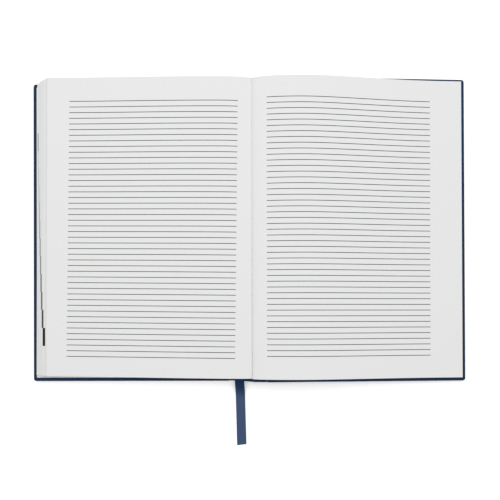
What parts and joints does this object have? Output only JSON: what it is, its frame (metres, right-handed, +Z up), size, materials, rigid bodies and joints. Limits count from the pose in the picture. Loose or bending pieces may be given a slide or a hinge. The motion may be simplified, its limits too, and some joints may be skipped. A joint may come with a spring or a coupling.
{
  "type": "open casebound notebook",
  "caption": "Casebound notebook lying open with ruled leaves in a thick and a thin pile, cloth-covered boards that swing shut on the spine, and a ribbon marker.",
  "frame": {"origin": "centre of the bounding box of the open book and its ribbon, on the surface that it lies on", "axes": "+X from the front cover's fore edge to the back cover's fore edge, +Y from the tail to the head, +Z up"},
  "size_m": [0.3122, 0.2631, 0.0166],
  "materials": {
    "cover_cloth": "matte",
    "board": "matte",
    "paper": "matte",
    "endpaper": "matte",
    "lining": "matte",
    "ribbon": "satin"
  },
  "bodies": {
    "front": {"front_board": "board", "front_cover_cloth": "cover_cloth", "front_pastedown": "endpaper", "front_pages": "paper", "front_open_leaves": "paper", "ribbon_marker": "ribbon"},
    "spine": {"spine_card": "board", "spine_cloth": "cover_cloth", "spine_lining": "lining", "page_fold": "paper"},
    "back": {"back_board": "board", "back_cover_cloth": "cover_cloth", "back_pastedown": "endpaper", "back_pages": "paper", "back_open_leaves": "paper"}
  },
  "joints": [
    {"name": "front_hinge", "type": "hinge", "parent": "front", "child": "spine", "pos_m": [-0.00656, 0.02335, 0.0003], "axis": [0, -1, 0], "range_deg": [0, 58], "deforming": ["page_fold", "ribbon_marker"]},
    {"name": "back_hinge", "type": "hinge", "parent": "spine", "child": "back", "pos_m": [0.00667, 0.02335, 0.00857], "axis": [0, -1, 0], "range_deg": [0, 125.17], "deforming": ["back_open_leaves", "front_open_leaves"]}
  ]
}
